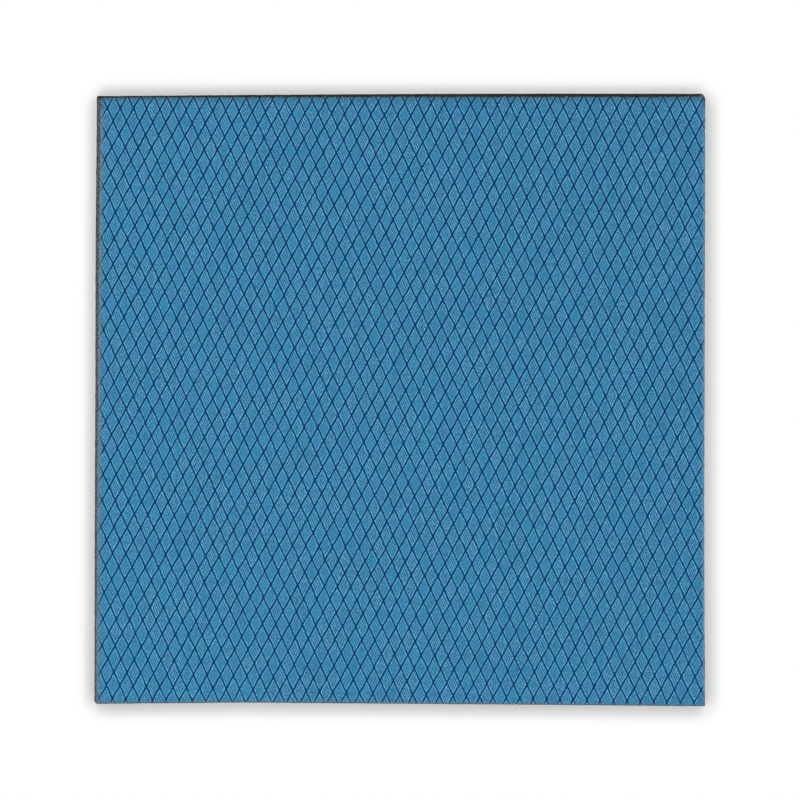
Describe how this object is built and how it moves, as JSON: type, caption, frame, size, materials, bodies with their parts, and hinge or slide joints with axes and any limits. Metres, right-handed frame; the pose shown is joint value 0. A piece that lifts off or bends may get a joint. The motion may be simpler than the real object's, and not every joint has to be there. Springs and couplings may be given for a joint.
{
  "type": "thermal pad sheet",
  "caption": "Square sheet of soft silicone gap-filler pad that carries heat from a board to a heatsink, between a blue diamond-embossed release film and a plain clear one.",
  "frame": {"origin": "centre of the sheet's underside, on the floor it lies on", "axes": "+Z out of the embossed face, through the thickness; +X along the width, to the picture's right; +Y along the length, to the picture's top"},
  "size_m": [0.1, 0.1, 0.0023],
  "materials": {
    "blue_film": "embossed diamond pattern, satin",
    "grey_silicone": "soft, matte, tacky, ceramic filled",
    "clear_film": "smooth, clear"
  },
  "bodies": {
    "root": {"embossed_liner": "blue_film", "silicone_pad": "grey_silicone", "backing_liner": "clear_film"}
  },
  "joints": []
}
